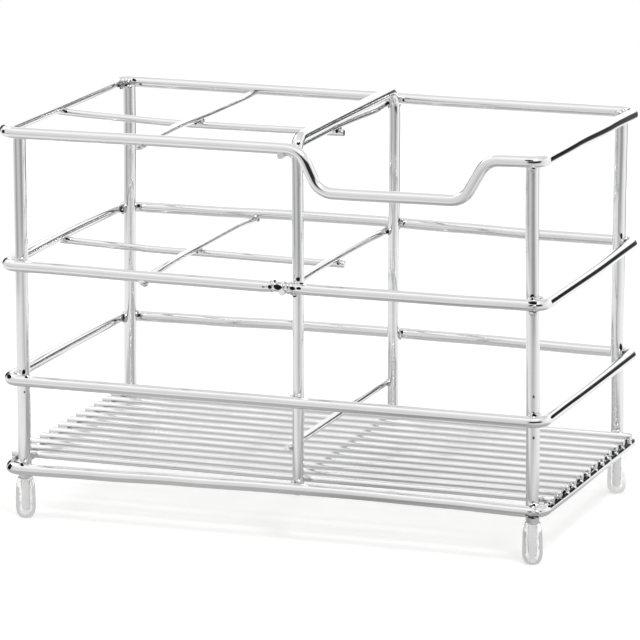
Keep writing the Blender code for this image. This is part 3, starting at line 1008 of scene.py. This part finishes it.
shadeSpot = {"Location": (shadeX * mm, shadeY * mm, 0.0), "Scale": (reachX * mm, reachY * mm, 1.0)}
shadePlace = addNode(floorTree, "Mapping", {"vector_type": "TEXTURE", **shadeSpot}, Vector=floorSpot)
shadeFar = addNode(floorTree, "VectorMath", {"operation": "LENGTH"}, i0=shadePlace).outputs["Value"]
shadeEnds = {"To Min": rampWhite * studioSet["shade"], "To Max": rampWhite}
shadeStrength = addNode(
    floorTree, "MapRange", {**smooth, **readFrom(studioSet["shadeChange"]), **shadeEnds}, Value=shadeFar
)
floorMirror = addNode(floorTree, "Emission", Color=floorTone, Strength=shadeStrength)
floorMirrored = addNode(
    floorTree, "Math", {"operation": "GREATER_THAN"},
    i0=floorPath.outputs["Is Glossy Ray"], i1=floorPath.outputs["Is Transmission Ray"],
)
floorMixed = addNode(floorTree, "MixShader", i0=floorMirrored, i1=floorShader, i2=floorMirror)
feed(floorTree, floorTree.nodes["Material Output"], Surface=floorMixed)


def flatPiece(name, points, faces, material):
    # a mesh of the given points and faces
    mesh = bpy.data.meshes.new(name)
    mesh.from_pydata(points.tolist(), [], faces)
    mesh.materials.append(material)
    return addObject(name, mesh)


sides = studioSet["floorSides"]
angle = np.linspace(0, 2 * math.pi, sides, endpoint=False)
floorRim = np.stack((np.cos(angle), np.sin(angle), 0 * angle), -1) * studioSet["floorRadius"] * mm
table = flatPiece("table", floorRim, [list(range(sides))], floorMaterial)

cardMaterial, cardTree, cardShader = newMaterial("blackCardWithPaintedGlow")
# A card painted as a glow by bearing: black over most of it, brighter towards its left end, so that the
# wires mirror painted dark and light bands
cardTree.nodes.remove(cardShader)
cardSpot = addNode(cardTree, "TexCoord").outputs["Object"]
cardTone = brightnessRamp(cardTree, studioSet["cardTone"], bearingOf(cardTree, cardSpot))
cardLight = addNode(cardTree, "Emission", {"Strength": rampWhite}, Color=cardTone)
feed(cardTree, cardTree.nodes["Material Output"], Surface=cardLight)
steps = studioSet["cardSteps"]
(cardRight, _), *_, (cardLeft, _) = studioSet["cardTone"]
turn = np.radians(np.linspace(cardLeft, cardRight, steps))
cardRim = np.stack((np.sin(turn), -np.cos(turn), 0 * turn), -1) * studioSet["cardRadius"] * mm
cardPoints = np.concatenate((cardRim, cardRim + upward * studioSet["cardTop"] * mm))
cardFaces = [(i, i + 1, i + 1 + steps, i + steps) for i in range(steps - 1)]
card = flatPiece("card", cardPoints, cardFaces, cardMaterial)
card.visible_camera = card.visible_diffuse = card.visible_transmission = card.visible_shadow = False

world = bpy.data.worlds.new("studio")
scene.world = world
world.use_nodes = True
sky = world.node_tree
sky.nodes.clear()
skyPath = addNode(sky, "LightPath")
skyWay = addNode(sky, "TexCoord").outputs["Generated"]
skyParts = addNode(sky, "SeparateXYZ", Vector=skyWay)
skyRise = skyParts.outputs["Z"]
room = linear(studioSet["roomColour"])
frontWall, backWall, eyeShare = (
    brightnessRamp(sky, studioSet[key], skyRise) for key in ("frontWall", "backWall", "eyeShare")
)
backShare = addNode(sky, "MapRange", readFrom(studioSet["wallsMeet"]), Value=skyParts.outputs["Y"])
wallMix = addNode(sky, "Mix", {"data_type": "RGBA"}, i0=backShare, i6=frontWall, i7=backWall)
eyeTone = brightnessRamp(sky, studioSet["eyeHeight"], bearingOf(sky, skyWay))
eyeMix = addNode(sky, "Mix", {"data_type": "RGBA"}, i0=eyeShare, i6=wallMix.outputs[2], i7=eyeTone)
plainRoom = addNode(sky, "Background", {"Color": room, "Strength": studioSet["roomStrength"]})
mirrorRoom = addNode(sky, "Background", {"Strength": rampWhite}, Color=eyeMix.outputs[2])
whiteRoom = addNode(sky, "Background", {"Color": linear("#FFFFFF"), "Strength": 1.0})
withMirror = addNode(sky, "MixShader", i0=skyPath.outputs["Is Glossy Ray"], i1=plainRoom, i2=mirrorRoom)
withWhite = addNode(sky, "MixShader", i0=seenPlain(sky, skyPath), i1=withMirror, i2=whiteRoom)
addNode(sky, "OutputWorld", i0=withWhite)

lampSet = {
    "key_softbox": {"place": (0.62, -0.60, 1.15), "size": (0.35, 0.35), "watts": 4.6},
    "fill_softbox": {"place": (-0.90, 0.35, 1.00), "size": (0.5, 0.5), "watts": 2.0},
}
lampTarget = np.array((0, 0, 0.07))


def placed(right, top, back, place):
    # a lamp or camera looks down its own -Z, and the first three are its X, Y and Z
    matrix = np.eye(4)
    matrix[:3] = np.stack((right, top, back, place), axis=1)
    return Matrix(matrix.tolist())


for name, values in lampSet.items():
    lamp = bpy.data.lights.new(name, "AREA")
    lamp.shape = "RECTANGLE"
    lamp.size, lamp.size_y = values["size"]
    lamp.energy = values["watts"]
    back = unit(np.array(values["place"]) - lampTarget)
    right = unit(np.cross(upward, back))
    addObject(name, lamp).matrix_world = placed(right, np.cross(back, right), back, values["place"])

cameraSet = {
    "place": (568.8, -1546.7, 443.8),
    "azimuth": 20.248,
    "elevation": 12.692,
    "roll": -0.350,
    "sensor": 36.0,
    "lens": 273.04,
    "shiftX": 0.0034,
    "shiftY": -0.0273,
}
turn, lift, roll = (math.radians(cameraSet[key]) for key in ("azimuth", "elevation", "roll"))
flat = math.cos(lift)
forward = np.array((-math.sin(turn) * flat, math.cos(turn) * flat, -math.sin(lift)))
right = np.array((math.cos(turn), math.sin(turn), 0.0))
top = np.cross(right, forward)
rolledRight = math.cos(roll) * right + math.sin(roll) * top
rolledTop = -math.sin(roll) * right + math.cos(roll) * top
cameraData = bpy.data.cameras.new("camera")
cameraData.sensor_width = cameraSet["sensor"]
cameraData.lens = cameraSet["lens"]
cameraData.shift_x = cameraSet["shiftX"]
cameraData.shift_y = cameraSet["shiftY"]
camera = addObject("camera", cameraData)
camera.matrix_world = placed(rolledRight, rolledTop, -forward, np.array(cameraSet["place"]) * mm)
scene.camera = camera
scene.view_settings.view_transform = "Standard"
print("studio made")
